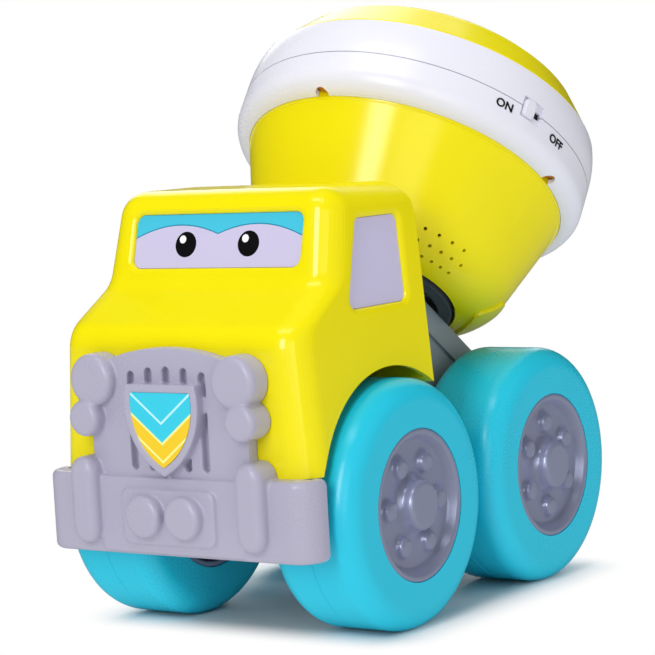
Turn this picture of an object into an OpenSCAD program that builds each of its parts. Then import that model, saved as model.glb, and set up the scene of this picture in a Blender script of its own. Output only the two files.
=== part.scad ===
// Toy cement mixer: a one-piece cab on a moulded chassis, four wheels on two
// steel axles, and a leaning drum that turns on a spindle and holds the sound unit.
// Millimetres. X is across the truck, Y runs from the bumper to the tail, Z is up
// from the floor. The origin is the middle of the truck's length and width, on the floor.

/* [Wheels] */
// Outside diameter of a tyre
tyre_d = 100; // [92:1:106]
// Width of a tyre
tyre_w = 41; // [34:1:44]
// Radius of the rounded tyre shoulders
tyre_shoulder_r = 9; // [6:0.5:12]
// Thickness of the hollow tyre's wall
tyre_wall = 2.6; // [2:0.2:4]
// Diameter of the rim where the tyre seats
rim_d = 60.8; // [54:0.4:66]
// Depth of the dished rim floor below the tyre's side
rim_dish = 4.5; // [3:0.5:8]
// Radius of the round hub on the rim
hub_r = 9.9; // [7:0.1:11]
// How far the hub stands out past the tyre's side
hub_proud = 2.6; // [0:0.2:4]
// Radius of the circle of wheel nuts
nut_circle_r = 18; // [17:0.5:19.5]
// Radius of one wheel nut
nut_r = 4.1; // [3:0.1:4.6]
// Diameter of a steel axle
axle_d = 5; // [4:0.5:6]
// Distance between the front and rear axles
wheelbase = 106; // [104:1:112]
// Distance between the middles of the left and right tyres
track = 101.6; // [100:0.4:106]

/* [Chassis] */
// Height of the flat underside above the floor
belly_z = 36; // [34:1:38]
// Height of the chassis tray's open top
tray_top_z = 66; // [62:1:68]
// Width of the chassis tray
tray_w = 51; // [46:1:53]
// Width of the sloping deck that overhangs the tray
deck_w = 54; // [50:1:56]
// Thickness of the deck's edge band
deck_band = 10; // [6:0.5:14]
// Thickness of the chassis walls
frame_wall = 2.5; // [2:0.25:3.5]
// Distance from the front axle to the tail
tail_y = 148; // [142:1:154]

/* [Cab] */
// Distance from the front axle forward to the nose face
nose_reach = 60; // [59:0.5:63]
// Height at which the nose starts to round into the bonnet
nose_edge_z = 117; // [114:0.5:120]
// Slope of the bonnet from level
bonnet_slope = 32.5; // [26:0.5:38]
// Lean of the windscreen from upright
screen_rake = 14.7; // [10:0.1:18]
// Height of the roof
roof_z = 177; // [174:1:182]
// Distance from the front axle forward to the roof's front edge
roof_reach = 27; // [24:0.5:30]
// Half width of the cab's side at the height of the wheel centres
cab_half_w = 63.8; // [62:0.2:66]
// Inward lean of the cab's sides
side_lean = 4.3; // [2:0.1:6]
// Radius of the cab's outer edges
cab_edge_r = 12; // [9:0.5:14]
// Radius of the hollow where the bonnet meets the windscreen
brow_r = 12; // [8:1:16]
// Distance from the front axle back to the cab's rear wall
cab_back_y = 31.5; // [28:0.5:33]
// Radius of the roof's rear edge
roof_back_r = 15; // [12:1:18]
// Wall thickness of the cab shell
cab_wall = 2.5; // [2:0.25:3]
// Radius of the wheel arch
arch_r = 54.8; // [54:0.2:57]

/* [Windows] */
// Width of the windscreen
screen_w = 82.4; // [74:0.2:84]
// Height of the windscreen along its slope
screen_h = 22; // [18:0.2:22.4]
// Height of the windscreen's lower edge
screen_z = 147; // [146.6:0.2:148]
// Depth of the window faces below the cab's skin
window_depth = 1.7; // [1:0.1:2]
// Height of the side windows
side_window_h = 35; // [28:1:36]
// Height of the side windows' lower edge
side_window_z = 129; // [126:1:130]
// Length of a side window's lower edge
side_window_l = 39.5; // [34:0.5:41]

/* [Front] */
// Radius of an upper lamp
big_lamp_r = 10.4; // [9:0.2:11]
// Radius of a lower lamp
small_lamp_r = 7.2; // [6:0.2:8]
// Width of the bumper
bumper_w = 130; // [127:1:134]
// Distance from the front axle forward to the bumper face
bumper_reach = 67; // [66:0.5:69]
// Height of the bumper's lower edge
bumper_z = 37.2; // [36:0.2:40]
// Height of the bumper's top, where the cab's nose stands
bumper_top_z = 68.8; // [67.6:0.2:71]
// Width of a grille slot
slot_w = 3.4; // [2:0.2:5]
// Radius of a fog lamp
fog_r = 8.4; // [7:0.2:9]
// Distance from the front axle forward to the fog lamps' faces
fog_reach = 75; // [73:0.5:77]
// Half width of the shield in the grille
shield_r = 14.9; // [13:0.1:16]

/* [Drum] */
// Lean of the drum's axis from upright
drum_lean = 35.2; // [33:0.2:37]
// Distance from the front axle back to the middle of the drum's seat
seat_y = 77.4; // [76:0.2:80]
// Height of the middle of the drum's seat
seat_z = 124.7; // [124:0.5:130]
// Radius of the bowl at its rim
bowl_rim_r = 70.9; // [68:0.1:73]
// Height of the bowl's rim along the drum's axis
bowl_h = 56.5; // [54:0.5:60]
// Angle of the bowl's upper wall from the axis
bowl_flare = 18.8; // [14:0.2:21]
// Radius of the bowl's rounded bottom
bowl_round_r = 30; // [26:0.5:31]
// Step from the bowl's rim out to the face of the belt round the drum
belt_step = 7.7; // [7:0.1:10]
// Height of the belt's lower half
lower_belt_h = 17.4; // [14:0.2:20]
// Height of the belt's upper half
upper_belt_h = 17.5; // [14:0.5:20]
// Height of the dome above the belt
dome_h = 36.6; // [32:0.2:42]
// Height of the dome's sloping shoulder
shoulder_h = 15.6; // [12:0.2:18]
// Radius of the dome where its shoulder ends
shoulder_r = 64.9; // [60:0.1:67]
// Wall thickness of the drum's mouldings
drum_wall = 2.4; // [1.8:0.2:3]
// Radius of the turntable that the drum turns on
turntable_r = 36.8; // [34:0.2:37.4]
// Diameter of the drum's steel spindle
spindle_d = 6; // [5:0.5:8]

/* [Sound unit] */
// Diameter of a button cell
cell_d = 11.6; // [9.5:0.1:12]
// Height of a button cell
cell_h = 5.4; // [3:0.2:5.6]
// Radius of the speaker
speaker_r = 9; // [7:0.5:10]
// Diameter of a speaker hole
sound_hole_d = 1.6; // [1:0.1:2.4]
// Width of the switch knob along its travel
knob_w = 5.8; // [4:0.2:6.4]
// Height of the switch knob
knob_h = 8.4; // [6:0.2:9]
// Travel of the switch knob from ON to OFF
knob_travel = 4; // [3:0.5:5]

/* [Fits] */
// Radial running clearance of the axles and the spindle
running_gap = 0.06; // [0.02:0.01:0.1]
// Gap between the bowl's mouth and the turntable
turntable_gap = 1.4; // [1:0.1:2.5]
// Sliding clearance of the switch knob
knob_gap = 0.05; // [0.02:0.01:0.05]
// Clearance round the inset windows and the shield
inset_gap = 0.15; // [0.1:0.05:0.3]

/* [Hidden] */
$fn = 96;
far = 300;
cut = 1;

yellow = "#f4e60a";
turquoise = "#3ab9d7";
rim_silver = "#77779a";
grille_grey = "#a7a2b6";
frame_grey = "#666b75";
hub_grey = "#3b4047";
belt_white = "#ebebf8";
steel = "#b9bcc2";
brass = "#c8a24a";
board_green = "#2f6f45";

// Screws: self-tapping, with a round head in a recess
screw_r = 1.4;
screw_head_r = 2.8;
screw_head_h = 2;
screw_hole_gap = 0.05;
recess_r = screw_head_r + 0.3;

axle_z = tyre_d / 2;
axle_r = axle_d / 2;
hub_len = tyre_w - 1;

// ---- Drum profile, as [radius, height above the deck] -------------------------
belt_r = bowl_rim_r + belt_step;
bowl_bottom = 1.1;
flare = tan(bowl_flare);
round_s = bowl_bottom + bowl_round_r;
round_r = bowl_rim_r - flare * (bowl_h - round_s) - bowl_round_r / cos(bowl_flare);
mouth_r = turntable_r + turntable_gap;
seam_s = bowl_h + lower_belt_h;
belt_top_s = seam_s + upper_belt_h;
crown_r = 40;
crown_s = seam_s + 5.1;
belt_top_r = belt_r - crown_r + sqrt(pow(crown_r, 2) - pow(belt_top_s - crown_s, 2));
cap_h = dome_h - shoulder_h;
cap_r = (pow(shoulder_r, 2) + pow(cap_h, 2)) / (2 * cap_h);

// The truck is centred between the fog lamps' faces and the top of the belt
rear_reach = seat_y + belt_top_s * sin(drum_lean) + belt_top_r * cos(drum_lean);
middle_y = (rear_reach - fog_reach) / 2;

module from_front_axle() translate([0, -middle_y, 0]) children();
module on_deck() from_front_axle() translate([0, seat_y, seat_z]) rotate([-drum_lean, 0, 0]) children();
module both_sides() { children(); mirror([1, 0, 0]) children(); }
// Turns a shape drawn on X and Z, so that its height stands forward from the front axle
module facing_front(reach) translate([0, -reach, 0]) rotate([90, 0, 0]) children();

// Plate in X and Y with corner radius c, whose top edge is rounded by e
module soft_plate(w, l, h, c, e) {
    linear_extrude(h - e) round_rect(w, l, c);
    linear_extrude(h) round_rect(w - 2 * e, l - 2 * e, c - e);
    for (x = [-1, 1], y = [-1, 1])
        translate([x * (w / 2 - c), y * (l / 2 - c), h - e]) rotate_extrude() intersection() {
            translate([c - e, 0]) circle(e);
            translate([0, -e]) square([c, 2 * e]);
        }
    if (l > 2 * c) for (x = [-1, 1])
        translate([x * (w / 2 - e), 0, h - e]) rotate([90, 0, 0])
            cylinder(r = e, h = l - 2 * c, center = true);
    if (w > 2 * c) for (y = [-1, 1])
        translate([0, y * (l / 2 - e), h - e]) rotate([0, 90, 0])
            cylinder(r = e, h = w - 2 * c, center = true);
}
module round_rect(w, l, c) {
    if (w > 2 * c) square([w - 2 * c, l], center = true);
    if (l > 2 * c) square([w, l - 2 * c], center = true);
    for (x = [-1, 1], y = [-1, 1]) translate([x * (w / 2 - c), y * (l / 2 - c)]) circle(c);
}
// Round disc with a rounded face edge
module soft_disc(r, h, e) {
    cylinder(r = r, h = h - e);
    cylinder(r = r - e, h = h);
    translate([0, 0, h - e]) rotate_extrude() translate([r - e, 0]) circle(e);
}
// Self-tapping screw that points along +Z, its head's underside at z = 0
module screw(shank) {
    translate([0, 0, -screw_head_h]) cylinder(r = screw_head_r, h = screw_head_h);
    cylinder(r = screw_r, h = shank);
}
module screw_hole(depth) cylinder(r = screw_r + screw_hole_gap, h = depth);

// ---- Wheels ---------------------------------------------------------------------
module wheel_place(y, side) from_front_axle() translate([0, y, axle_z])
    rotate(side < 0 ? 180 : 0) translate([track / 2, 0, 0]) rotate([0, 90, 0]) children();

// Hollow tyre, open towards the rim, with a fine parting line round the tread
module tyre() {
    r = tyre_d / 2;
    half = tyre_w / 2;
    seat = rim_d / 2;
    sr = tyre_shoulder_r;
    color(turquoise) rotate_extrude() difference() {
        union() {
            translate([seat, -half + sr]) square([r - seat, tyre_w - 2 * sr]);
            translate([seat, -half]) square([r - seat - sr, tyre_w]);
            for (s = [-1, 1]) translate([r - sr, s * (half - sr)]) circle(sr);
        }
        translate([seat + tyre_wall, -half + tyre_wall + 1])
            square([r - seat - 2 * tyre_wall - 1, tyre_w - 2 * tyre_wall - 2]);
        translate([seat - cut, -half + 3 * tyre_wall]) square([tyre_wall + 2 * cut, tyre_w - 6 * tyre_wall]);
        translate([r, 0]) rotate(45) square(0.5, center = true);
    }
}
module rim(turn) {
    half = tyre_w / 2;
    seat = rim_d / 2;
    floor_z = half - rim_dish;
    barrel = seat - 2.4;
    color(rim_silver) difference() {
        union() {
            rotate_extrude() {
                // Barrel, sloping dish wall, floor and hub
                translate([barrel, -half + 0.5]) square([seat - barrel, tyre_w - 0.5]);
                polygon([[barrel + 0.1, half], [barrel + 0.1, floor_z - 2.5],
                         [barrel - 2.4, floor_z - 2.5], [barrel - 2.4, floor_z]]);
                translate([0, floor_z - 2.5]) square([barrel - 1, 2.5]);
                polygon([[0, floor_z - 0.1], [hub_r + 2.6, floor_z - 0.1], [hub_r + 0.4, floor_z + 2.4],
                         [hub_r, half + hub_proud - 1.2], [hub_r - 1.2, half + hub_proud],
                         [0, half + hub_proud]]);
            }
            translate([0, 0, half - hub_len]) cylinder(r = axle_r + 3.2, h = hub_len - rim_dish);
            for (a = [0:60:300]) rotate(a + turn) {
                translate([nut_circle_r, 0, floor_z - 0.1])
                    cylinder(r1 = nut_r + 1, r2 = nut_r - 0.1, h = 1.3);
                translate([nut_circle_r, 0, floor_z]) soft_disc(nut_r, 3.4, 1.6);
                rotate(30) translate([axle_r + 2, -0.8, half - hub_len + 8])
                    cube([barrel - axle_r - 1.8, 1.6, hub_len - rim_dish - 10]);
            }
        }
        translate([0, 0, -half - cut]) cylinder(r = axle_r, h = tyre_w + cut - rim_dish / 2);
    }
}
module axle(y) color(steel) from_front_axle() translate([0, y, axle_z]) rotate([0, 90, 0])
    cylinder(r = axle_r, h = track + tyre_w - rim_dish, center = true);

module front_axle() axle(0);
module rear_axle() axle(wheelbase);
module front_left_tyre() wheel_place(0, 1) tyre();
module front_right_tyre() wheel_place(0, -1) tyre();
module rear_left_tyre() wheel_place(wheelbase, 1) tyre();
module rear_right_tyre() wheel_place(wheelbase, -1) tyre();
module front_left_rim() wheel_place(0, 1) rim(30);
module front_right_rim() wheel_place(0, -1) rim(30);
module rear_left_rim() wheel_place(wheelbase, 1) rim(0);
module rear_right_rim() wheel_place(wheelbase, -1) rim(0);

// ---- Chassis tray -------------------------------------------------------------------
wheel_inner_x = (track - tyre_w) / 2;
bearing_end_x = wheel_inner_x - 0.8;
beam_front_y = nose_reach - 3;
beam_back_y = tyre_d / 2 + 2.2;
beam_half_w = 52;
post_r = 4.5;
post_x = 17;
cab_posts = [[post_x, -35], [-post_x, -35], [post_x, 22], [-post_x, 22]];
bumper_screw_x = 30;
bumper_screw_z = [48, 60];
tray_screws = [[14, 60], [-14, 60], [14, tail_y - 12], [-14, tail_y - 12]];

module tray_plan(w) {
    c = 8;
    translate([-w / 2, -beam_front_y]) square([w, tail_y + beam_front_y - c]);
    translate([-w / 2 + c, tail_y - 2 * c]) square([w - 2 * c, 2 * c]);
    for (s = [-1, 1]) translate([s * (w / 2 - c), tail_y - c]) circle(c);
}
module chassis() color(frame_grey) from_front_axle() difference() {
    union() {
        difference() {
            translate([0, 0, belly_z]) linear_extrude(tray_top_z - belly_z) tray_plan(tray_w);
            translate([0, 0, belly_z + frame_wall]) linear_extrude(far) intersection() {
                tray_plan(tray_w - 2 * frame_wall);
                translate([-far / 2, frame_wall - beam_front_y])
                    square([far, tail_y + beam_front_y - 2 * frame_wall]);
            }
        }
        // Beam behind the bumper
        translate([-beam_half_w, -beam_front_y, belly_z + 6])
            cube([2 * beam_half_w, beam_front_y - beam_back_y, tray_top_z - belly_z - 6]);
        // Axle bearings and the rib across the tray under each
        for (y = [0, wheelbase]) translate([0, y, axle_z]) {
            both_sides() translate([tray_w / 2 - 7, 0, 0]) rotate([0, 90, 0])
                cylinder(r = axle_r + 4.5, h = bearing_end_x - tray_w / 2 + 7);
            translate([-tray_w / 2 + 1, -1.5, belly_z - axle_z + 1])
                cube([tray_w - 2, 3, axle_z - belly_z - axle_r - 2]);
        }
        for (p = concat(cab_posts, tray_screws)) translate([p[0], p[1], belly_z + 1])
            cylinder(r = post_r, h = tray_top_z - belly_z - 1);
    }
    for (y = [0, wheelbase]) translate([0, y, axle_z]) rotate([0, 90, 0])
        cylinder(r = axle_r + running_gap, h = far, center = true);
    for (p = concat(cab_posts, tray_screws)) translate([p[0], p[1], belly_z - cut]) {
        screw_hole(far);
        cylinder(r = recess_r, h = tray_top_z - belly_z - 8 + cut);
    }
    for (s = [-1, 1], z = bumper_screw_z) translate([s * bumper_screw_x, -beam_back_y + cut, z])
        rotate([90, 0, 0]) screw_hole(far);
}
module frame_screws() color(steel) from_front_axle()
    for (p = concat(cab_posts, tray_screws)) translate([p[0], p[1], tray_top_z - 8]) screw(16);
module bumper_screws() color(steel) from_front_axle()
    for (s = [-1, 1], z = bumper_screw_z)
        translate([s * bumper_screw_x, -beam_back_y, z]) rotate([90, 0, 0]) screw(9);

// ---- Rear frame: the sloping deck that carries the drum ---------------------------------
deck_front_y = cab_back_y;
slope = tan(drum_lean);
function deck_top(y) = seat_z - (y - seat_y) * slope;
function below_deck(y, depth) = deck_top(y) - depth / cos(drum_lean);
hub_screw_r = 17;

deck_t = 3;

module deck_section(depth, from, to, base = tray_top_z) polygon([
    [from, base], [to, base], [to, below_deck(to, depth)], [from, below_deck(from, depth)]]);
module along_x(w) rotate([90, 0, 90]) translate([0, 0, -w / 2]) linear_extrude(w) children();

module rear_frame() color(frame_grey) difference() {
    from_front_axle() difference() {
        union() {
            intersection() {
                along_x(deck_w) deck_section(0, deck_front_y, tail_y);
                along_x(deck_w) difference() {
                    translate([0, tray_top_z]) square([far, far]);
                    deck_section(deck_band, -far, tail_y - deck_band);
                }
                translate([0, 0, tray_top_z]) linear_extrude(far) tray_plan(deck_w);
            }
            intersection() {
                along_x(tray_w) deck_section(1, deck_front_y, tail_y);
                translate([0, 0, tray_top_z]) linear_extrude(far) tray_plan(tray_w);
            }
        }
        difference() {
            along_x(tray_w - 2 * frame_wall)
                deck_section(deck_t, deck_front_y + frame_wall, tail_y - frame_wall - 2, tray_top_z - cut);
            for (p = tray_screws) translate([p[0], p[1], 0]) cylinder(r = post_r, h = far);
        }
        for (p = tray_screws) translate([p[0], p[1], tray_top_z - cut])
            screw_hole(min(9, below_deck(p[1], 1.5) - tray_top_z) + cut);
    }
    on_deck() {
        translate([0, 0, -far / 2]) cylinder(r = spindle_d / 2 + 0.1, h = far);
        for (a = [90:120:330]) rotate(a) translate([hub_screw_r, 0, -20]) screw_hole(40);
    }
}

// ---- Turntable and spindle -----------------------------------------------------------------
turntable_h = 6.5;
turntable_top = 2.5;
bush_flange_h = 2.9;
bowl_floor_s = turntable_h + 0.1 + bush_flange_h;
bush_top_s = bowl_floor_s + 15;
bush_end_gap = 0.2;
washer_t = 1.2;
spindle_r = spindle_d / 2;

module turntable() color(hub_grey) on_deck() difference() {
    union() {
        rotate_extrude() {
            translate([turntable_r - 5.6, 0]) square([4.8, turntable_h]);
            translate([turntable_r - 1.5, 0.7]) square([1.5, turntable_h - 1.4]);
            for (z = [0.8, turntable_h - 0.8]) translate([turntable_r - 0.8, z]) circle(0.8);
            translate([spindle_r + 1, turntable_h - turntable_top])
                square([turntable_r - spindle_r - 3, turntable_top]);
            square([spindle_r + 4, turntable_h]);
            translate([24, 0.6]) square([1.2, turntable_h - 1]);
        }
        for (a = [0:30:330]) rotate(a) translate([spindle_r + 3, -0.6, 0.6])
            cube([turntable_r - spindle_r - 7, 1.2, turntable_h - 1]);
        for (a = [90:120:330]) rotate(a) translate([hub_screw_r, 0, 0])
            cylinder(r = screw_head_r + 0.6, h = turntable_h - 1);
    }
    translate([0, 0, -cut]) cylinder(r = spindle_r, h = far);
    for (a = [90:120:330]) rotate(a) translate([hub_screw_r, 0, -cut]) screw_hole(turntable_h - 1);
}
module turntable_screws() color(steel) on_deck()
    for (a = [90:120:330]) rotate(a) translate([hub_screw_r, 0, -deck_t]) screw(deck_t + 4.5);
module drum_spindle() color(steel) on_deck() difference() {
    union() {
        translate([0, 0, -deck_t]) cylinder(r = spindle_r, h = bush_top_s + bush_end_gap + deck_t);
        translate([0, 0, -deck_t - 2]) cylinder(r = spindle_r + 2, h = 2);
    }
    translate([0, 0, bush_top_s - 12]) screw_hole(far);
}
module spindle_washer() color(steel) on_deck() translate([0, 0, bush_top_s + bush_end_gap]) difference() {
    cylinder(r = spindle_r + 4, h = washer_t);
    translate([0, 0, -cut]) cylinder(r = screw_r + 0.2, h = far);
}
module spindle_screw() color(steel) on_deck()
    translate([0, 0, bush_top_s + bush_end_gap + washer_t]) rotate([180, 0, 0]) screw(11);

// ---- Cab shell --------------------------------------------------------------------------------
// The cab is a loft of level sections. Each follows the side profile of nose, bonnet,
// windscreen and roof, the leaning sides and the rear wall, all set in by "inset".
lean = tan(side_lean);
nose_arc = [cab_edge_r - nose_reach, nose_edge_z];
roof_arc = [cab_edge_r - roof_reach, roof_z - cab_edge_r];
bonnet_n = [-sin(bonnet_slope), cos(bonnet_slope)];
screen_n = [-cos(screen_rake), sin(screen_rake)];
bonnet_c = bonnet_n * nose_arc + cab_edge_r + brow_r;
screen_c = screen_n * roof_arc + cab_edge_r + brow_r;
brow_arc = [bonnet_c * sin(screen_rake) - cos(bonnet_slope) * screen_c,
            cos(screen_rake) * bonnet_c - sin(bonnet_slope) * screen_c] / cos(bonnet_slope + screen_rake);
roof_back = [cab_back_y - roof_back_r, roof_z - roof_back_r];

function towards(angle) = [-cos(angle), sin(angle)];
function mix(a, b, t) = a + (b - a) * t;
function side_x(z) = cab_half_w - (z - axle_z) * lean;

// Points [y, z] of the side profile, from the nose's lower edge up to the roof
function profile(inset, low) =
    let (n = 10, edge = cab_edge_r - inset, hollow = brow_r + inset,
         foot = brow_arc - hollow * towards(screen_rake), head = roof_arc + edge * towards(screen_rake))
    concat(
        [[inset - nose_reach, low]],
        [for (i = [0:n]) nose_arc + edge * towards((90 - bonnet_slope) * i / n)],
        [for (i = [0:n]) brow_arc - hollow * towards(mix(90 - bonnet_slope, screen_rake, i / n))],
        [for (i = [1:3]) mix(foot, head, i / 4)],
        [for (i = [0:n + 1]) roof_arc + edge * towards(mix(screen_rake, 84, i / (n + 1)))]);

// One level section: rear corners square, front corners rounded
function section(y, z, inset) =
    let (n = 10, edge = cab_edge_r - inset, up = max(0, z - roof_arc[1]), back = max(0, z - roof_back[1]),
         r = sqrt(max(0.01, edge * edge - up * up)), back_r = roof_back_r - inset,
         x = side_x(min(z, roof_arc[1])) - cab_edge_r + r,
         rear = roof_back[0] + sqrt(max(0.01, back_r * back_r - back * back)))
    concat([[x, rear, z]],
        [for (i = [0:n]) [x - r + r * cos(90 * i / n), y + r - r * sin(90 * i / n), z]],
        [for (i = [0:n]) [r - x - r * sin(90 * i / n), y + r - r * cos(90 * i / n), z]],
        [[-x, rear, z]]);

// Closed solid through level rings of points, each run clockwise as seen from above
module loft(rings) {
    m = len(rings[0]);
    n = len(rings);
    polyhedron(
        points = [for (ring = rings) each ring],
        faces = concat(
            [[for (i = [m - 1:-1:0]) i]],
            [for (k = [0:n - 2], i = [0:m - 1]) each let (j = (i + 1) % m)
                [[k * m + i, k * m + j, k * m + m + j], [k * m + i, k * m + m + j, k * m + m + i]]],
            [[for (i = [0:m - 1]) (n - 1) * m + i]]));
}
module cab_form(inset, low) loft([for (p = profile(inset, low)) section(p[0], p[1], inset)]);

// Windscreen plane: local X across, local Y up the slope, local Z out of the glass
screen_mid_z = screen_z + screen_h / 2 * cos(screen_rake);
screen_skin_y = (screen_c - brow_r - screen_mid_z * sin(screen_rake)) / -cos(screen_rake);
module on_screen() translate([0, screen_skin_y, screen_mid_z]) rotate([90 - screen_rake, 0, 0]) children();
// Side window plane: local X towards the tail, local Y up, local Z out of the side
side_mid_z = side_window_z + side_window_h / 2;
module on_side() translate([side_x(side_mid_z), 0, side_mid_z])
    rotate([0, -side_lean, 0]) rotate([90, 0, 90]) children();

// Windows: the centres of each outline's corner arcs, run clockwise. The front edge of a
// side window follows the windscreen's rake.
screen_corner = 4;
screen_corners = let (x = screen_w / 2 - screen_corner, y = screen_h / 2 - screen_corner)
    [[-x, -y], [-x, y], [x, y], [x, -y]];
side_corner = 3.5;
side_corners =
    let (h = side_window_h / 2 - side_corner, back = cab_back_y - 12 - side_corner,
         front = back - side_window_l + 2 * side_corner, rake = side_window_h * tan(screen_rake))
    [[front, -h], [front + rake, h], [back, h], [back, -h]];

function left_of(d) = atan2(d[0], -d[1]);
// Outline round the corners at a distance r, with n steps to an arc
function outline(corners, r, n = 8) = [
    for (i = [0:3])
        let (p = corners[i], a = left_of(p - corners[(i + 3) % 4]), b = left_of(corners[(i + 1) % 4] - p))
        for (j = [0:n])
            let (angle = a + (b - a - 360) % 360 * j / n) p + r * [cos(angle), sin(angle)]];
module plate(corners, r, low, high)
    translate([0, 0, low]) linear_extrude(high - low) polygon(outline(corners, r));

// Opening through the cab's wall that flares softly out to the skin: [height, growth]
flare_steps = [[-cab_wall - cut, 0], [-window_depth, 0], [-0.6 * window_depth, 0.3],
               [-0.3 * window_depth, 0.9], [-0.1 * window_depth, 1.7], [0, 2.7], [0.6, 6]];
module window_opening(corners, r)
    loft([for (f = flare_steps) [for (p = outline(corners, r + f[1])) [p[0], p[1], f[0]]]]);
module cab_shell() color(yellow) from_front_axle() difference() {
    union() {
        difference() {
            cab_form(0, bumper_top_z);
            cab_form(cab_wall, bumper_top_z - cut);
            translate([0, 0, axle_z]) rotate([0, 90, 0]) cylinder(r = arch_r, h = far, center = true);
        }
        // Screw posts: two under the bonnet, two webbed to the rear wall
        intersection() {
            cab_form(cab_wall / 2, 0);
            for (s = [-1, 1]) {
                translate([s * post_x, cab_posts[0][1], tray_top_z]) cylinder(r = post_r, h = far);
                translate([s * post_x, cab_posts[2][1], tray_top_z]) cylinder(r = post_r, h = 60);
                translate([s * post_x - 1, cab_posts[2][1], tray_top_z + 32])
                    cube([2, cab_back_y - cab_posts[2][1] - cab_wall / 2, 28]);
            }
        }
    }
    on_screen() window_opening(screen_corners, screen_corner);
    both_sides() on_side() window_opening(side_corners, side_corner);
    for (p = cab_posts) translate([p[0], p[1], tray_top_z - cut]) screw_hole(12);
}
// Each window fills its opening from inside, on a flange behind the skin
flange = 0.8;
flange_t = 1.2;
flange_gap = 0.3;
module pane(corners, r) {
    plate(corners, r - inset_gap, -cab_wall - flange_gap - flange_t, -window_depth);
    plate(corners, r + flange, -cab_wall - flange_gap - flange_t, -cab_wall - flange_gap);
}
module windscreen() color("#cdc5e1") from_front_axle() on_screen() pane(screen_corners, screen_corner);
module side_window() color("#beb9d7") from_front_axle() on_side() pane(side_corners, side_corner);
module left_window() side_window();
module right_window() mirror([1, 0, 0]) side_window();

// ---- Grille and bumper ---------------------------------------------------------------------------
bumper_h = bumper_top_z - bumper_z;
bumper_mid_z = (bumper_top_z + bumper_z) / 2;
bumper_wall = 3;
bumper_corner = 10;
bumper_edge = 2.5;
bumper_end_y = tyre_d / 2 + 4.4;
grille_reach = nose_reach + 6;
lamp_x = 34.5;
small_lamp_x = 38;
pill_x = 40.2;
pill_top_z = bumper_top_z + 7.2;
pill_z = bumper_z + 4.4;
pill_w = 12.6;
grille_top_z = nose_edge_z + 1.8;
lamp_z = nose_edge_z - 0.5 - big_lamp_r;
small_lamp_z = lamp_z - big_lamp_r - small_lamp_r + 2.6;
shield_top_z = 102;
shield_bow = shield_r - 2.4;
shield_z = shield_top_z - 5;
slot_x = 8.7;
slot_low_z = bumper_top_z + 3.8;
slot_top_z = grille_top_z - 9;

module shield_outline(g) intersection() {
    translate([-shield_bow, shield_z]) circle(shield_r + shield_bow + g);
    translate([shield_bow, shield_z]) circle(shield_r + shield_bow + g);
    translate([-far / 2, shield_top_z + g - far]) square([far, far]);
}
module grille_outline() {
    arc_r = 88;
    for (s = [-1, 1]) {
        translate([s * lamp_x, lamp_z]) circle(big_lamp_r);
        translate([s * small_lamp_x, small_lamp_z]) circle(small_lamp_r);
        translate([s * pill_x - pill_w / 2, bumper_mid_z])
            square([pill_w, pill_top_z - pill_w / 2 - bumper_mid_z]);
        translate([s * pill_x, pill_top_z - pill_w / 2]) circle(pill_w / 2);
    }
    intersection() {
        translate([0, grille_top_z - arc_r]) circle(arc_r);
        translate([-small_lamp_x, bumper_mid_z]) square([2 * small_lamp_x, grille_top_z - bumper_mid_z]);
        union() {
            translate([-lamp_x + 4, bumper_mid_z]) square([2 * lamp_x - 8, far]);
            translate([-small_lamp_x, bumper_mid_z]) square([2 * small_lamp_x, lamp_z - bumper_mid_z]);
        }
    }
}
module bumper_block() {
    depth = 60;
    difference() {
        intersection() {
            translate([0, depth / 2 - bumper_reach, 0]) {
                translate([0, 0, bumper_mid_z])
                    soft_plate(bumper_w, depth, bumper_h / 2, bumper_corner, bumper_edge);
                translate([0, 0, bumper_mid_z]) mirror([0, 0, 1])
                    soft_plate(bumper_w, depth, bumper_h / 2, bumper_corner, bumper_edge);
            }
            translate([-far / 2, -far, 0]) cube([far, far - bumper_end_y, far]);
        }
        translate([0, depth / 2 - bumper_reach, bumper_z - cut]) linear_extrude(bumper_h + cut - bumper_wall)
            round_rect(bumper_w - 2 * bumper_wall, depth - 2 * bumper_wall, bumper_corner - bumper_wall);
        translate([cab_wall - side_x(bumper_top_z), cab_wall - nose_reach, bumper_z])
            cube([2 * (side_x(bumper_top_z) - cab_wall), far, far]);
    }
}
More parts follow.
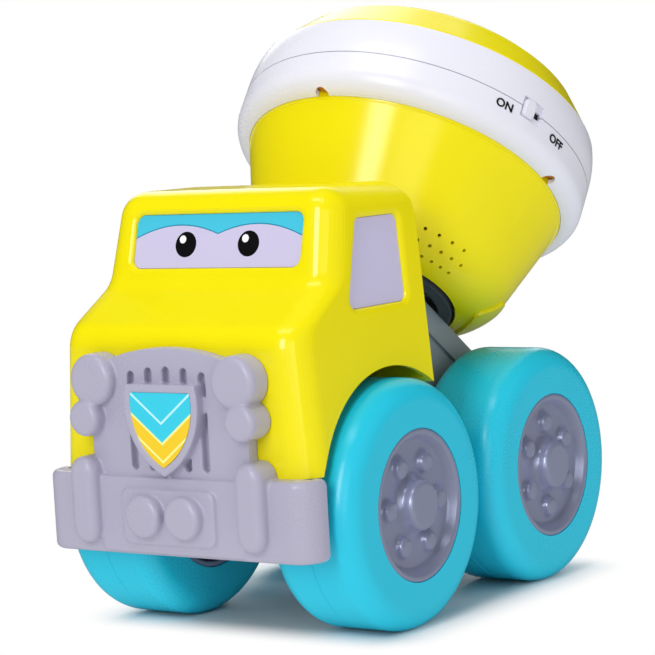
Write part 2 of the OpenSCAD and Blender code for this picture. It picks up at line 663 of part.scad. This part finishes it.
module grille_bumper() color(grille_grey) from_front_axle() difference() {
    union() {
        bumper_block();
        // Grille plate on the nose, with its slots and the socket of the shield
        difference() {
            union() {
                facing_front(nose_reach) linear_extrude(grille_reach - nose_reach) grille_outline();
                facing_front(grille_reach - 1) linear_extrude(5.5) shield_outline(3);
            }
            facing_front(grille_reach + 3.4) linear_extrude(far) shield_outline(0);
            for (i = [-2:2]) {
                top = slot_top_z - 0.5 * i * i;
                facing_front(grille_reach - 4) linear_extrude(far)
                    difference() {
                        union() {
                            translate([i * slot_x - slot_w / 2, slot_low_z])
                                square([slot_w, top - slot_low_z]);
                            for (z = [slot_low_z, top]) translate([i * slot_x, z]) circle(slot_w / 2);
                        }
                        shield_outline(3);
                    }
            }
        }
        facing_front(nose_reach) both_sides() {
            translate([lamp_x, lamp_z, 0]) soft_disc(big_lamp_r, 11, 3);
            translate([small_lamp_x, small_lamp_z, 0]) soft_disc(small_lamp_r, 12.5, 2.6);
            translate([pill_x, (pill_top_z + pill_z) / 2, 4])
                soft_plate(pill_w, pill_top_z - pill_z, 9, pill_w / 2, 3.6);
        }
        // Panel across the bumper, number plate and fog lamps
        facing_front(bumper_reach - 1) translate([0, bumper_mid_z + 0.4, 0])
            soft_plate(2 * (pill_x - pill_w / 2) + 2, bumper_h - 1.6, 2, 2.4, 0.9);
        facing_front(bumper_reach) translate([0, bumper_mid_z + 0.2, 0])
            soft_plate(45.6, bumper_h - 9.4, 3, 4, 1.4);
        facing_front(bumper_reach) both_sides() translate([fog_r + 1.2, bumper_mid_z + 0.8, 0])
            soft_disc(fog_r, fog_reach - bumper_reach, 2.4);
        // Screw bosses that meet the chassis beam
        for (s = [-1, 1], z = bumper_screw_z) translate([s * bumper_screw_x, -beam_front_y, z])
            rotate([90, 0, 0]) cylinder(r = 4, h = bumper_reach - beam_front_y - 1);
    }
    for (s = [-1, 1], z = bumper_screw_z) translate([s * bumper_screw_x, cut - beam_front_y, z])
        rotate([90, 0, 0]) screw_hole(7 + cut);
}
module grille_shield() color("#32dcfa") from_front_axle()
    facing_front(grille_reach + 3.4) linear_extrude(0.9) shield_outline(-inset_gap);

// ---- Drum ------------------------------------------------------------------------------------------
belt_edge_r = 8.5;
belt_bore_r = bowl_rim_r - 5.5;
belt_screw_r = bowl_rim_r + 1.4;
rim_flange_s = bowl_h + 5;
rim_flange_h = 2.5;
rim_flange_r = belt_r - drum_wall - 1.3;
door_angle = 51.5;
door_t = 1.2;
door_l = 36;
door_w = 16.5;
door_shift = 1;
door_s = 8;
door_screw_angle = door_angle + 16.5;
door_cup_r = recess_r + 0.7;
door_cup_h = 2.2;
board_post_r = 26;
board_w = sqrt(2) * board_post_r + 9.2;
board_t = 1.6;
board_s = bowl_floor_s + 21;
speaker_angle = -26;
speaker_s = 12.4;

// Bowl's outer form up to height h, set in by "inset"
module bowl_section(inset, h) {
    r = bowl_round_r - inset;
    join_r = round_r + r * cos(bowl_flare);
    join_s = round_s - r * sin(bowl_flare);
    intersection() {
        translate([round_r, round_s]) circle(r);
        translate([round_r, join_s - far]) square([far, far]);
    }
    translate([0, bowl_bottom + inset]) square([round_r, join_s - bowl_bottom - inset]);
    polygon([[0, join_s], [join_r, join_s], [join_r + flare * (h - join_s), h], [0, h]]);
}
// Moves to the bowl's skin at an angle and height: local X runs round the bowl,
// local Y up its side and local Z out of it
function skin_tilt(s) = asin((round_s - s) / bowl_round_r);
module on_bowl(angle, s) rotate(angle)
    translate([round_r + bowl_round_r * cos(skin_tilt(s)), 0, s])
    rotate([90, 0, 90]) rotate([skin_tilt(s), 0, 0]) children();

module at_door_screw(z) on_bowl(door_screw_angle, door_s) translate([0, cell_up, z]) children();
module on_belt_screws(s) for (a = [0:90:270]) rotate(a) translate([belt_screw_r, 0, s]) children();
module on_board_posts(s) for (a = [45:90:315]) rotate(a) translate([board_post_r, 0, s]) children();

// Speaker holes: three rows that fan out up the bowl
sound_rows = [[5.4, 6.2, -32], [9, 6.6, -31.8], [13.4, 7.1, -37.6]];
module sound_holes() for (row = sound_rows, i = [-1:3])
    on_bowl(row[2] + i * row[1], row[0]) translate([0, 0, -far / 20])
        cylinder(d = sound_hole_d, h = far / 10);

// Battery compartment sunk in the bowl: three button cells in a row between two contacts
cell_depth = drum_wall + 1.2 + cell_d / 2;
cell_up = 1.6;
contact_t = 0.5;
pocket_l = 3 * cell_h + 2 * contact_t;
module pocket(g) translate([-pocket_l / 2 - g, cell_up - cell_d / 2 - 0.3 - g, -cell_depth - cell_d / 2 - g])
    cube([pocket_l + 2 * g, cell_d + 0.6 + 2 * g, far]);

module drum_bowl() color(yellow) on_deck() difference() {
    union() {
        difference() {
            union() {
                rotate_extrude() difference() {
                    bowl_section(0, bowl_h);
                    bowl_section(drum_wall, bowl_h + cut);
                }
                // Rim lip and the flange that hangs in the belt
                rotate_extrude() {
                    translate([bowl_rim_r - drum_wall - 0.5, bowl_h - 1.2])
                        square([drum_wall + 0.3, rim_flange_s + rim_flange_h - bowl_h + 1.2]);
                    translate([bowl_rim_r - drum_wall, rim_flange_s])
                        square([rim_flange_r - bowl_rim_r + drum_wall, rim_flange_h]);
                }
                // Mouth and floor over the turntable
                rotate_extrude() intersection() {
                    bowl_section(0, bowl_h);
                    union() {
                        translate([mouth_r, 0]) square([drum_wall, bowl_floor_s + drum_wall]);
                        translate([spindle_r + 5, bowl_floor_s])
                            square([mouth_r - spindle_r - 5 + cut, drum_wall]);
                    }
                }
                intersection() {
                    rotate_extrude() bowl_section(1, bowl_h);
                    union() {
                        on_bowl(speaker_angle, speaker_s) translate([0, 0, -12])
                            cylinder(r = speaker_r + 1.5, h = 12);
                        on_bowl(door_angle, door_s) pocket(1.4);
                        at_door_screw(-10) cylinder(r = door_cup_r + 1.6, h = 10);
                    }
                    translate([0, 0, bowl_floor_s]) cylinder(r = far, h = far);
                }
                on_board_posts(bowl_floor_s + 1) cylinder(r = 3, h = board_s - bowl_floor_s - 1);
            }
            translate([0, 0, -cut]) cylinder(r = mouth_r, h = bowl_floor_s + cut);
        }
    }
    on_bowl(speaker_angle, speaker_s) translate([0, 0, -13])
        cylinder(r = speaker_r + inset_gap, h = 13 - drum_wall - 1.6);
    intersection() {
        on_bowl(speaker_angle, speaker_s) translate([0, 0, -13]) cylinder(r = speaker_r - 1, h = far);
        rotate_extrude() bowl_section(drum_wall, bowl_h);
        translate([0, 0, bowl_floor_s + drum_wall]) cylinder(r = far, h = far);
    }
    sound_holes();
    on_bowl(door_angle, door_s) pocket(0);
    at_door_screw(-9) screw_hole(far);
    at_door_screw(-door_cup_h - 0.05) cylinder(r = door_cup_r + inset_gap, h = far);
    on_belt_screws(0) screw_hole(far);
    on_belt_screws(bowl_h) cylinder(r = recess_r, h = rim_flange_s - bowl_h);
    on_board_posts(bowl_floor_s + 6) screw_hole(far);
}

// The belt's skin between two heights, with a wall inside it
module belt_form(inset) {
    r = belt_r - inset;
    translate([0, bowl_h + belt_edge_r]) square([r, crown_s - bowl_h - belt_edge_r]);
    translate([0, bowl_h + inset]) square([belt_r - belt_edge_r, belt_edge_r]);
    translate([belt_r - belt_edge_r, bowl_h + belt_edge_r]) circle(belt_edge_r - inset);
    intersection() {
        translate([belt_r - crown_r, crown_s]) circle(crown_r - inset);
        translate([0, crown_s]) square([far, belt_top_s - crown_s - inset]);
    }
}
module belt_half(from, to) intersection() {
    difference() {
        belt_form(0);
        belt_form(drum_wall);
    }
    translate([belt_bore_r, from]) square([far, to - from]);
}
switch_angle = 340;
switch_s = seam_s;
slot_l = knob_w + knob_travel + 0.4;
switch_depth = drum_wall + 0.6;
module at_switch() rotate(switch_angle) translate([belt_r, 0, switch_s]) rotate([90, 0, 90]) children();
module switch_recess() at_switch() {
    translate([-slot_l / 2 - 0.6, -knob_h / 2 - 0.6, -1.4]) cube([slot_l + 1.2, knob_h + 1.2, far]);
    translate([-slot_l / 2, -1.6, -far / 20]) cube([slot_l, 3.2, far]);
}
module lower_belt() color(belt_white) on_deck() difference() {
    rotate_extrude() difference() {
        belt_half(bowl_h, seam_s);
        translate([0, bowl_h - cut]) square([bowl_rim_r + 0.15, far]);
    }
    on_belt_screws(0) cylinder(r = recess_r, h = rim_flange_s);
    switch_recess();
}
module upper_belt() color(belt_white) on_deck() difference() {
    union() {
        rotate_extrude() belt_half(seam_s, belt_top_s);
        // Screw bosses that reach down to the bowl's flange
        intersection() {
            on_belt_screws(rim_flange_s + rim_flange_h) cylinder(r = screw_head_r + 0.6, h = far);
            rotate_extrude() belt_form(drum_wall + 0.3);
        }
        intersection() {
            on_belt_screws(seam_s + 0.5) translate([0, -1, 0]) cube([belt_r, 2, upper_belt_h - 2]);
            rotate_extrude() belt_form(1);
        }
    }
    on_belt_screws(0) screw_hole(rim_flange_s + 14);
    switch_recess();
}
module drum_dome() color(yellow) on_deck() rotate_extrude() difference() {
    union() {
        dome_form(0);
        translate([0, belt_top_s - 4]) square([belt_bore_r - inset_gap, 5]);
    }
    intersection() {
        dome_form(drum_wall);
        translate([0, belt_top_s + drum_wall]) square([far, far]);
    }
    square([belt_bore_r - inset_gap - drum_wall, belt_top_s + drum_wall + cut]);
}
module dome_form(inset) {
    edge = belt_top_r - 0.8;
    intersection() {
        translate([0, belt_top_s + dome_h - cap_r]) circle(cap_r - inset);
        translate([0, belt_top_s + shoulder_h - cut - inset]) square([shoulder_r - inset / 2, far]);
    }
    polygon([[0, belt_top_s], [edge - inset, belt_top_s], [edge - inset, belt_top_s + 1],
             [shoulder_r - inset, belt_top_s + shoulder_h], [0, belt_top_s + shoulder_h]]);
}
module drum_bush() color("#d8d8d2") on_deck() rotate_extrude() {
    translate([spindle_r + running_gap, turntable_h + 0.1])
        square([5 - running_gap, bush_top_s - turntable_h - 0.1]);
    translate([spindle_r + running_gap, turntable_h + 0.1]) square([9, bush_flange_h]);
}
module drum_screws() color(steel) on_deck() on_belt_screws(rim_flange_s) screw(12);

// ---- Sound unit inside the drum ------------------------------------------------------------------------
module circuit_board() color(board_green) on_deck() difference() {
    union() {
        translate([-board_w / 2, -board_w / 2, board_s]) cube([board_w, board_w, board_t]);
        translate([-6, -14, board_s + board_t - 0.1]) cube([12, 8, 2]);
        translate([8, 6, board_s + board_t - 0.1]) cylinder(r = 3.2, h = 6);
    }
    on_board_posts(0) screw_hole(far);
}
module speaker() color("#2c2c30") on_deck() on_bowl(speaker_angle, speaker_s)
    translate([0, 0, -drum_wall - 1.6 - 5]) union() {
        cylinder(r = speaker_r, h = 5);
        translate([0, 0, -3]) cylinder(r = speaker_r * 0.6, h = 3.1);
    }
module button_cells() color(steel) on_deck() on_bowl(door_angle, door_s)
    for (i = [-1:1]) translate([i * cell_h, cell_up, -cell_depth]) rotate([0, 90, 0])
        cylinder(r = cell_d / 2, h = cell_h - 0.05, center = true);
module battery_contacts() color(brass) on_deck() on_bowl(door_angle, door_s) both_sides()
    translate([pocket_l / 2 - contact_t, cell_up - cell_d / 2, -cell_depth - cell_d / 2])
        cube([contact_t, cell_d, cell_d]);
// The door lies on the bowl's skin and follows its curve. Its screw sits in a cup.
module battery_door() color(yellow) on_deck() difference() {
    union() {
        intersection() {
            rotate_extrude() difference() {
                bowl_section(-door_t, bowl_h / 2);
                bowl_section(0, bowl_h);
                translate([0, -far]) square([mouth_r + 1, far + bowl_floor_s]);
            }
            on_bowl(door_angle, door_s) translate([door_shift, cell_up, -10]) linear_extrude(20)
                round_rect(door_l, door_w, 4);
        }
        at_door_screw(-door_cup_h) cylinder(r = door_cup_r, h = door_cup_h + door_t / 2);
    }
    at_door_screw(1 - door_cup_h) cylinder(r = recess_r, h = far);
    at_door_screw(-far / 2) cylinder(r = screw_r + 0.2, h = far);
}
module door_screw() color(steel) on_deck() at_door_screw(1 - door_cup_h) rotate([180, 0, 0]) screw(6.4);
module switch_body() color("#2c2c30") on_deck() at_switch()
    translate([-slot_l / 2 - 2, -4, -switch_depth - 6]) cube([slot_l + 4, 8, 6]);
module switch_knob() color(belt_white) on_deck() at_switch() translate([-knob_travel / 2, 0, 0]) {
    translate([0, 0, -1.35]) {
        linear_extrude(2) round_rect(knob_w, knob_h, 1.8);
        linear_extrude(2.6) round_rect(knob_w - 1.2, knob_h - 1.2, 1.2);
    }
    translate([-1.4, -1.6 + knob_gap, 0.05 - switch_depth])
        cube([2.8, 3.2 - 2 * knob_gap, switch_depth - 0.5]);
}

chassis();
rear_frame();
turntable();
turntable_screws();
drum_spindle();
spindle_washer();
spindle_screw();
cab_shell();
windscreen();
left_window();
right_window();
grille_bumper();
grille_shield();
frame_screws();
bumper_screws();
front_axle();
front_left_tyre();
front_right_tyre();
front_left_rim();
front_right_rim();
rear_axle();
rear_left_tyre();
rear_right_tyre();
rear_left_rim();
rear_right_rim();
drum_bowl();
lower_belt();
upper_belt();
drum_dome();
drum_bush();
drum_screws();
circuit_board();
speaker();
button_cells();
battery_contacts();
battery_door();
door_screw();
switch_body();
switch_knob();
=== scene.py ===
"""Toy cement mixer: materials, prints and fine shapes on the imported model."""
import math

import bpy
from mathutils import Matrix, Vector


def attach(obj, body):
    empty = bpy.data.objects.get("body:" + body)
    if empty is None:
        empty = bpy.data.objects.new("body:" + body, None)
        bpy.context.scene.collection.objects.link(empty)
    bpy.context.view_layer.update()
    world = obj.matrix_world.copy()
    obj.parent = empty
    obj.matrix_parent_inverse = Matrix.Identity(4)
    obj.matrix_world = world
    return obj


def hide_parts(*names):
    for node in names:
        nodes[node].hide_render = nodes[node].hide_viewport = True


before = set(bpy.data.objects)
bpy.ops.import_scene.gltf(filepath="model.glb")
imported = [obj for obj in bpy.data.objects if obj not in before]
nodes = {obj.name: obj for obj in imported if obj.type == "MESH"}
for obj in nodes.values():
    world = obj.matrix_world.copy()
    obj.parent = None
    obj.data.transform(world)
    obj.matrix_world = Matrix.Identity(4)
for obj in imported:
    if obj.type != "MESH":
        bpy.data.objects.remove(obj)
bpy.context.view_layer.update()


# ---- Camera ------------------------------------------------------------------
# A long lens from the front and the truck's left, a little above the wheels,
# and tilted slightly, as a catalogue picture is taken.
azimuth = math.radians(34.781)
elevation = math.radians(5.162)
roll = math.radians(-3.192)
look_at = Vector((0.00369, -0.018852, 0.115483))
distance = 1.041385

back = Vector((math.sin(azimuth) * math.cos(elevation),
               -math.cos(azimuth) * math.cos(elevation),
               math.sin(elevation)))
level = Vector((math.cos(azimuth), math.sin(azimuth), 0))
upright = back.cross(level)
right = level * math.cos(roll) + upright * math.sin(roll)
top = upright * math.cos(roll) - level * math.sin(roll)

camera = bpy.data.objects.new("camera", bpy.data.cameras.new("camera"))
bpy.context.collection.objects.link(camera)
camera.data.lens = 136.75
camera.data.sensor_width = 36
facing = Matrix((right, top, back)).transposed().to_4x4()
camera.matrix_world = Matrix.Translation(look_at + back * distance) @ facing
bpy.context.scene.camera = camera


# ---- Studio: lamps, white surround and floor -----------------------------------
# Large soft boxes in front and above, on a white floor that fades into a white
# surround, so that only the soft shadow under the wheels shows.
bpy.context.scene.view_settings.view_transform = "Standard"


class Shade:
    """A socket of a material. Arithmetic on it adds Math nodes, node() adds any other."""

    def __init__(self, socket):
        self.socket = socket

    def node(self, kind, inputs, output=0, **settings):
        tree = self.socket.id_data
        new = tree.nodes.new(kind)
        for name, value in settings.items():
            setattr(new, name, value)
        for name, value in inputs.items():
            if isinstance(value, Shade):
                tree.links.new(value.socket, new.inputs[name])
            else:
                new.inputs[name].default_value = value
        return Shade(new.outputs[output])

    def math(self, operation, *values):
        return self.node("ShaderNodeMath", dict(enumerate(values)), operation=operation)

    def __add__(self, other): return self.math("ADD", self, other)
    def __sub__(self, other): return self.math("SUBTRACT", self, other)
    def __rsub__(self, other): return self.math("SUBTRACT", other, self)
    def __mul__(self, other): return self.math("MULTIPLY", self, other)
    def __pow__(self, other): return self.math("POWER", self, other)
    def __lt__(self, other): return self.math("LESS_THAN", self, other)
    def __gt__(self, other): return self.math("GREATER_THAN", self, other)
    def __abs__(self): return self.math("ABSOLUTE", self)
    __radd__ = __add__

    def axis(self, letter):
        return self.node("ShaderNodeSeparateXYZ", {0: self}, output="XYZ".index(letter))

    def over(self, colour, base):
        """The colour where this mask is 1, on top of the base colour."""
        return self.node("ShaderNodeMix", {"Factor": self, 6: base, 7: colour}, output=2,
                         data_type="RGBA")

    def feed(self, shader, name):
        self.socket.id_data.links.new(self.socket, shader.inputs[name])


def srgb(red, green, blue):
    """A colour written as 0 to 255 on screen, as the linear colour that a shader takes."""
    linear = [c / 12.92 if c <= 0.04045 else ((c + 0.055) / 1.055) ** 2.4
              for c in (red / 255, green / 255, blue / 255)]
    return (*linear, 1)


world = bpy.data.worlds.new("studio")
bpy.context.scene.world = world
world.use_nodes = True
surround = world.node_tree.nodes["Background"]
surround.inputs["Color"].default_value = (1, 1, 1, 1)
sees = Shade(world.node_tree.nodes.new("ShaderNodeLightPath").outputs["Is Camera Ray"])
glossy = Shade(sees.socket.node.outputs["Is Glossy Ray"])
surround_light = 0.36
# The gloss sees a darker surround than the plain light does, so that highlights stand out
less_in_gloss = 0.33
(surround_light + sees * (1 - surround_light) - glossy * less_in_gloss).feed(
    surround, "Strength")


def soft_box(name, place, size, power, diffuse=True, gloss=True):
    """An area lamp that faces the toy, left out of the plain or of the mirrored light if asked."""
    lamp = bpy.data.lights.new(name, "AREA")
    lamp.shape = "RECTANGLE"
    lamp.size, lamp.size_y = size
    lamp.energy = power
    rig = bpy.data.objects.new(name, lamp)
    rig.location = place
    rig.rotation_euler = (look_at - Vector(place)).to_track_quat("-Z", "Y").to_euler()
    rig.visible_diffuse = diffuse
    rig.visible_glossy = gloss
    bpy.context.collection.objects.link(rig)


soft_box("front_box", (0.32, -1.9, 0.9), (0.55, 1.1), 15)
soft_box("crest_box", (0.05, -0.75, 1.75), (1.2, 0.25), 5)
soft_box("top_box", (-0.25, 0.1, 1.9), (1.2, 1.2), 11, gloss=False)
soft_box("side_box", (2.0, -0.1, 0.9), (2.4, 2.0), 7, gloss=False)
soft_box("camera_box", (1.3, -1.6, 0.5), (0.9, 1.2), 5, diffuse=False)
soft_box("back_box", (-1.1, 1.5, 1.2), (1.6, 1.2), 14, diffuse=False)

bpy.ops.object.select_all(action="DESELECT")
bpy.ops.mesh.primitive_circle_add(vertices=96, radius=3, fill_type="NGON")
floor = bpy.context.object
floor.name = "floor"
floor_material = bpy.data.materials.new("floor")
floor_material.use_nodes = True
floor.data.materials.append(floor_material)
paint = floor_material.node_tree.nodes["Principled BSDF"]
paint.inputs["Roughness"].default_value = 0.5
spot = Shade(floor_material.node_tree.nodes.new("ShaderNodeTexCoord").outputs["Object"])
# Half the width and half the length of the rectangle under the wheels that keeps its
# shadow, and how far outside it the floor has faded to white
shadow_half_width, shadow_half_length, fade_length = 0.06, 0.07, 0.03
clear_x = spot.math("MAXIMUM", abs(spot.axis("X")) - shadow_half_width, 0)
clear_y = spot.math("MAXIMUM", abs(spot.axis("Y")) - shadow_half_length, 0)
away = (clear_x * clear_x + clear_y * clear_y) ** 0.5
far_off = away.node("ShaderNodeMapRange", {"Value": away, "From Max": fade_length},
                    interpolation_type="SMOOTHSTEP")
# What the gloss mirrors of the floor is darker than what the camera sees of it
light_path = floor_material.node_tree.nodes.new("ShaderNodeLightPath")
mirrored = Shade(light_path.outputs["Is Glossy Ray"])
mirrored.over((0.12, 0.12, 0.12, 1), (0.93, 0.93, 0.935, 1)).feed(paint, "Base Color")
white = spot.node("ShaderNodeEmission", {"Color": (1, 1, 1, 1), "Strength": 1 - mirrored * 0.8})
blend = spot.node("ShaderNodeMixShader", {0: far_off, 1: Shade(paint.outputs[0]), 2: white})
blend.feed(floor_material.node_tree.nodes["Material Output"], "Surface")


# ---- Cab, drum bowl, dome and battery door ---------------------------------------
# Glossy injection-moulded plastic in one yellow. The mould leaves a faint waviness
# in the gloss, and the colour is a little deeper in some places than in others.
def moulded(name, colour, roughness=0.28, waviness=0.12, grain=0.0, print_on=None, **fixed):
    """A moulded plastic whose gloss wavers. print_on draws on it, and fixed sets its sockets."""
    material = bpy.data.materials.new(name)
    material.use_nodes = True
    plastic = material.node_tree.nodes["Principled BSDF"]
    for socket, value in fixed.items():
        plastic.inputs[socket.replace("_", " ")].default_value = value
    place = Shade(material.node_tree.nodes.new("ShaderNodeTexCoord").outputs["Object"])
    slow = place.node("ShaderNodeTexNoise", {"Vector": place, "Scale": 22, "Detail": 2})
    fine = place.node("ShaderNodeTexNoise", {"Vector": place, "Scale": 1400, "Detail": 2})
    deep = (*(0.93 * part for part in colour[:3]), 1)
    skin = slow.over(colour, deep)
    (print_on(place, skin) if print_on else skin).feed(plastic, "Base Color")
    (roughness - 0.05 + slow * 0.06 + fine * 0.05).feed(plastic, "Roughness")
    height = slow * waviness + fine * grain
    bump = place.node("ShaderNodeBump", {"Height": height, "Strength": 0.25, "Distance": 0.0004})
    bump.feed(plastic, "Normal")
    return material


def finish(material, *names):
    """Give these CAD nodes one material."""
    for name in names:
        nodes[name].data.materials.clear()
        nodes[name].data.materials.append(material)


yellow = moulded("yellow_plastic", srgb(252, 237, 0), 0.2, Specular_IOR_Level=0.5)
finish(yellow, "cab_shell", "drum_bowl", "drum_dome", "battery_door")


# ---- Windows -----------------------------------------------------------------------
# Opaque lavender panes. The windscreen is printed with two plain round eyes under
# a turquoise lid that arches over each of them.
def eyes(place, pane):
    """The windscreen's print, in millimetres across the pane and up its slope."""
    pane_middle_z = 0.15764
    slope_stretch = 1.034
    u = place.axis("X") * 1000
    v = (place.axis("Z") - pane_middle_z) * 1000 * slope_stretch
    lid_crest_u, lid_crest_v, lid_bend, lid_line = 19, 6.4, 0.0105, 0.5
    from_crest = abs(u) - lid_crest_u
    lid = lid_crest_v - from_crest * from_crest * lid_bend
    pane = (v > lid - lid_line).over(srgb(30, 140, 175), pane)
    pane = (v > lid).over(srgb(72, 200, 232), pane)

    def dots(shift_u, height, area):
        """One round dot in each eye, its radius squared given as area."""
        eye_u = 15.5
        across, up = abs(u + shift_u) - eye_u, v - height
        return across * across + up * up < area

    pane = dots(0, -1.8, 27).over(srgb(14, 14, 18), pane)
    return dots(1.7, 0.3, 2.6).over(srgb(250, 250, 255), pane)


finish(moulded("windscreen_print", srgb(212, 206, 240), 0.24, print_on=eyes), "windscreen")
finish(moulded("window_plastic", srgb(212, 206, 238), 0.24), "left_window", "right_window")


# ---- Grille, bumper and shield -------------------------------------------------------
# One soft-edged grey moulding, and a printed shield with plain chevrons. The CAD
# pieces' crisp edges are rounded over, as the mould's are.
def softened(name, body, voxel, rounds, material):
    """A copy of a CAD node with rounded edges, shown in the node's place."""
    node = nodes[name]
    piece = node.copy()
    piece.data = node.data.copy()
    piece.name = name + "_soft"
    piece.parent = None
    bpy.context.collection.objects.link(piece)
    piece.matrix_world = node.matrix_world.copy()
    bpy.ops.object.select_all(action="DESELECT")
    piece.select_set(True)
    bpy.context.view_layer.objects.active = piece
    bpy.ops.object.mode_set(mode="EDIT")
    bpy.ops.mesh.select_all(action="SELECT")
    bpy.ops.mesh.remove_doubles(threshold=0.000002)
    bpy.ops.object.mode_set(mode="OBJECT")
    remesh = piece.modifiers.new("remesh", "REMESH")
    remesh.mode = "VOXEL"
    remesh.voxel_size = voxel
    smooth = piece.modifiers.new("smooth", "SMOOTH")
    smooth.factor = 0.5
    smooth.iterations = rounds
    for modifier in ("remesh", "smooth"):
        bpy.ops.object.modifier_apply(modifier=modifier)
    bpy.ops.object.shade_smooth()
    piece.data.materials.clear()
    piece.data.materials.append(material)
    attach(piece, body)
    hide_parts(name)


grille_grey = moulded("grille_plastic", srgb(182, 179, 200), 0.28, grain=0.05)
softened("grille_bumper", "truck", 0.00055, 3, grille_grey)


def chevrons(place, plate):
    """The shield's print, in millimetres: two fields and three lines, all bent to one slope."""
    plate_middle_z = 82
    slope = 0.8
    half_line = 0.55
    u, v = place.axis("X") * 1000, place.axis("Z") * 1000 - plate_middle_z
    rise = v - abs(u) * slope
    plate = (rise < 0).over(srgb(250, 210, 30), plate)
    cream, pale_blue = srgb(250, 248, 150), srgb(190, 245, 250)
    for height, colour in ((0, cream), (-7, cream), (8, pale_blue)):
        plate = (abs(rise - height) < half_line).over(colour, plate)
    return plate


finish(moulded("shield_print", srgb(52, 214, 240), 0.3, print_on=chevrons), "grille_shield")


# ---- Wheels --------------------------------------------------------------------------
# Turquoise tyres with a soft sheen, on silver-lavender rims with their nuts and hubs
# rounded over.
finish(moulded("tyre_plastic", srgb(34, 207, 237), 0.28, Specular_IOR_Level=0.5),
       "front_left_tyre", "front_right_tyre", "rear_left_tyre", "rear_right_tyre")
silver = moulded("rim_plastic", srgb(174, 180, 210), 0.3, grain=0.1, Metallic=0.5)
for end in ("front", "rear"):
    for side in ("left", "right"):
        softened(f"{end}_{side}_rim", f"{end}_wheels", 0.0006, 4, silver)


# ---- Drum belt, lettering and switch ---------------------------------------------------
# White belt in two halves with a fine grey seam, and the switch's two words in
# black beside it. Places on the drum are measured from its seat on the deck.
deck_lean = math.radians(35.2)
deck_seat = Vector((0, 0.0185484, 0.1247))
deck_back = Vector((0, math.cos(deck_lean), -math.sin(deck_lean)))
drum_axis = Vector((0, math.sin(deck_lean), math.cos(deck_lean)))
seam_height = 0.0739
belt_radius = 0.0786
# How far below the seam the letters' feet stand
letters_below_seam = 0.0062


def seam(place, belt):
    """A thin line round the belt where its halves meet."""
    half_line = 0.00022
    along = ((place.axis("Y") - deck_seat.y) * drum_axis.y
             + (place.axis("Z") - deck_seat.z) * drum_axis.z)
    return (abs(along - seam_height) < half_line).over(srgb(150, 150, 168), belt)


finish(moulded("belt_plastic", srgb(240, 240, 252), 0.26, print_on=seam),
       "lower_belt", "upper_belt")
finish(moulded("knob_plastic", srgb(238, 238, 250), 0.26), "switch_knob")

ink = moulded("lettering_ink", srgb(22, 22, 26), 0.4)
for word, angle in (("ON", 330), ("OFF", 352.7)):
    bpy.ops.object.select_all(action="DESELECT")
    bpy.ops.object.text_add()
    letters = bpy.context.object
    letters.name = "letters_" + word.lower()
    letters.data.body = word
    letters.data.size = 0.0053
    letters.data.extrude = 0.0002
    letters.data.offset = 0.0001
    letters.data.align_x = "CENTER"
    bpy.ops.object.convert(target="MESH")
    turn = math.radians(angle)
    outward = Vector((math.cos(turn), 0, 0)) + deck_back * math.sin(turn)
    along = Vector((-math.sin(turn), 0, 0)) + deck_back * math.cos(turn)
    foot = (deck_seat + outward * belt_radius
            + drum_axis * (seam_height - letters_below_seam))
    facing = Matrix((along, drum_axis, outward)).transposed().to_4x4()
    letters.matrix_world = Matrix.Translation(foot) @ facing
    bpy.ops.object.transform_apply(location=True, rotation=True, scale=True)
    letters.data.materials.append(ink)
    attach(letters, "drum")


# ---- Frame, turntable and inner parts ---------------------------------------------------
# Grey plastic frame, dark turntable, steel screws and axles, and the sound unit.
finish(moulded("frame_plastic", srgb(154, 163, 172), 0.42, grain=0.1), "chassis", "rear_frame")
finish(moulded("hub_plastic", srgb(60, 64, 72), 0.4, grain=0.1), "turntable")
finish(moulded("bush_plastic", srgb(215, 215, 208), 0.5), "drum_bush")
finish(moulded("board", srgb(40, 105, 60), 0.5), "circuit_board")
finish(moulded("black_plastic", srgb(40, 40, 44), 0.45), "speaker", "switch_body")
finish(moulded("steel", srgb(190, 192, 198), 0.3, Metallic=1.0),
       "turntable_screws", "drum_spindle", "spindle_washer", "spindle_screw", "frame_screws",
       "bumper_screws", "front_axle", "rear_axle", "button_cells", "door_screw")
# The drum's screws get an orange-brown colour that paints the shade of the yellow holes they sit
# in.
finish(moulded("painted_hole_shade_metal", srgb(226, 150, 60), 0.4, Metallic=0.6), "drum_screws")
finish(moulded("brass", srgb(205, 170, 90), 0.3, Metallic=1.0), "battery_contacts")
